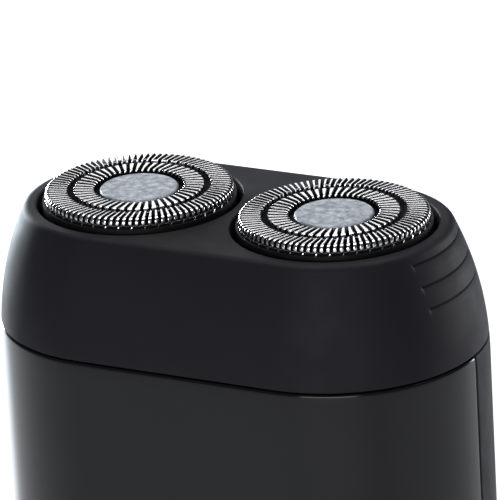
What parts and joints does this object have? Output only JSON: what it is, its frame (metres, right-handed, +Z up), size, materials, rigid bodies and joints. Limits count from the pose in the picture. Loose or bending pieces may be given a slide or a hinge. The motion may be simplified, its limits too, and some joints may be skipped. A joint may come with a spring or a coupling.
{
  "type": "rotary electric shaver",
  "caption": "Handheld rotary shaver with slotted steel guards that float and tilt over geared spinning cutters, a pull-off head, sliding switch and rear cell door.",
  "frame": {"origin": "under the middle of the flat base", "axes": "+Z up through the body to the guards, +X from the left guard to the right guard, -Y towards the front with the switch"},
  "size_m": [0.059, 0.034, 0.124],
  "materials": {
    "gloss_housing": "polished",
    "soft_housing": "soft-touch satin",
    "switch_plastic": "satin",
    "screw_steel": "bright",
    "spring_steel": "bright",
    "plate_steel": "satin",
    "brass": "satin",
    "tray_plastic": "moulded",
    "cell_sleeve": "printed film",
    "motor_steel": "drawn",
    "white_plastic": "moulded",
    "magnet": "sintered",
    "winding": "lacquered",
    "gear_plastic": "moulded acetal",
    "deck_plastic": "moulded",
    "rubber": "matt",
    "retainer_plastic": "moulded",
    "knob_plastic": "moulded",
    "ring_plastic": "moulded",
    "guard_steel": "polished",
    "badge": "frosted",
    "hub_plastic": "moulded",
    "blade_steel": "ground"
  },
  "bodies": {
    "housing": {"front_housing": "gloss_housing", "rear_housing": "soft_housing", "case_screws": "screw_steel", "switch_contacts": "brass", "battery_tray": "tray_plastic", "cell_left": "cell_sleeve", "cell_right": "cell_sleeve", "cell_springs": "spring_steel", "contact_plates": "plate_steel", "power_strips": "brass", "motor_frame": "tray_plastic", "motor_can": "motor_steel", "motor_end_cap": "white_plastic", "motor_magnets": "magnet", "motor_terminals": "brass", "motor_screws": "screw_steel", "gear_pins": "screw_steel", "drive_deck": "deck_plastic", "deck_screws": "screw_steel", "deck_seal": "rubber", "spindle_seals": "rubber"},
    "door": {"battery_door": "soft_housing"},
    "switch": {"switch_button": "switch_plastic", "switch_slider": "white_plastic"},
    "rotor": {"motor_armature": "winding", "motor_shaft": "screw_steel", "motor_pinion": "gear_plastic"},
    "gear_left": {"drive_gear_left": "gear_plastic", "spindle_spring_left": "spring_steel"},
    "gear_right": {"drive_gear_right": "gear_plastic", "spindle_spring_right": "spring_steel"},
    "drive_spindle_left": {"spindle_left": "white_plastic"},
    "drive_spindle_right": {"spindle_right": "white_plastic"},
    "head": {"head_frame": "soft_housing", "retaining_plate": "retainer_plastic"},
    "knob": {"retaining_knob": "knob_plastic"},
    "pivot_left": {"pivot_pins_left": "screw_steel"},
    "guard_left": {"guard_ring_left": "ring_plastic", "guard_cap_left": "guard_steel", "cap_badge_left": "badge"},
    "cutter_left": {"cutter_hub_left": "hub_plastic", "cutter_blades_left": "blade_steel"},
    "pivot_right": {"pivot_pins_right": "screw_steel"},
    "guard_right": {"guard_ring_right": "ring_plastic", "guard_cap_right": "guard_steel", "cap_badge_right": "badge"},
    "cutter_right": {"cutter_hub_right": "hub_plastic", "cutter_blades_right": "blade_steel"}
  },
  "joints": [
    {"name": "door_slide", "type": "slide", "parent": "housing", "child": "door", "axis": [0, 0, -1], "range_m": [0, 0.055]},
    {"name": "switch_slide", "type": "slide", "parent": "housing", "child": "switch", "axis": [0, 0, 1], "range_m": [0, 0.005]},
    {"name": "head_lift", "type": "slide", "parent": "housing", "child": "head", "axis": [0, 0, 1], "range_m": [0, 0.025]},
    {"name": "knob_turn", "type": "hinge", "parent": "head", "child": "knob", "pos_m": [0, 0, 0.114], "axis": [0, 0, 1], "range_deg": [0, 45]},
    {"name": "motor_spin", "type": "hinge", "parent": "housing", "child": "rotor", "pos_m": [0, 0, 0.092], "axis": [0, 0, 1], "continuous": true},
    {"name": "gear_left_spin", "type": "hinge", "parent": "housing", "child": "gear_left", "pos_m": [-0.0125, 0, 0.0925], "axis": [0, 0, 1], "continuous": true},
    {"name": "spindle_left_slide", "type": "slide", "parent": "gear_left", "child": "drive_spindle_left", "axis": [0, 0, 1], "range_m": [-0.0015, 0], "deforming": ["spindle_spring_left"]},
    {"name": "float_left", "type": "slide", "parent": "head", "child": "pivot_left", "axis": [0, 0, 1], "range_m": [-0.0015, 0], "stiffness_N_per_m": 300, "springref_m": 0.002},
    {"name": "tilt_left", "type": "hinge", "parent": "pivot_left", "child": "guard_left", "pos_m": [-0.0125, 0, 0.1198], "axis": [0, 1, 0], "range_deg": [-4, 4], "stiffness_Nm_per_rad": 0.02},
    {"name": "cutter_left_spin", "type": "hinge", "parent": "guard_left", "child": "cutter_left", "pos_m": [-0.0125, 0, 0.121], "axis": [0, 0, 1], "continuous": true},
    {"name": "gear_right_spin", "type": "hinge", "parent": "housing", "child": "gear_right", "pos_m": [0.0125, 0, 0.0925], "axis": [0, 0, 1], "continuous": true},
    {"name": "spindle_right_slide", "type": "slide", "parent": "gear_right", "child": "drive_spindle_right", "axis": [0, 0, 1], "range_m": [-0.0015, 0], "deforming": ["spindle_spring_right"]},
    {"name": "float_right", "type": "slide", "parent": "head", "child": "pivot_right", "axis": [0, 0, 1], "range_m": [-0.0015, 0], "stiffness_N_per_m": 300, "springref_m": 0.002},
    {"name": "tilt_right", "type": "hinge", "parent": "pivot_right", "child": "guard_right", "pos_m": [0.0125, 0, 0.1198], "axis": [0, 1, 0], "range_deg": [-4, 4], "stiffness_Nm_per_rad": 0.02},
    {"name": "cutter_right_spin", "type": "hinge", "parent": "guard_right", "child": "cutter_right", "pos_m": [0.0125, 0, 0.121], "axis": [0, 0, 1], "continuous": true}
  ],
  "couplings": [
    {"joint": "motor_spin", "follows": "gear_left_spin", "ratio": -3.1667},
    {"joint": "gear_right_spin", "follows": "gear_left_spin", "ratio": 1},
    {"joint": "cutter_left_spin", "follows": "gear_left_spin", "ratio": 1},
    {"joint": "cutter_right_spin", "follows": "gear_left_spin", "ratio": 1},
    {"joint": "spindle_left_slide", "follows": "float_left", "ratio": 1},
    {"joint": "spindle_right_slide", "follows": "float_right", "ratio": 1}
  ]
}
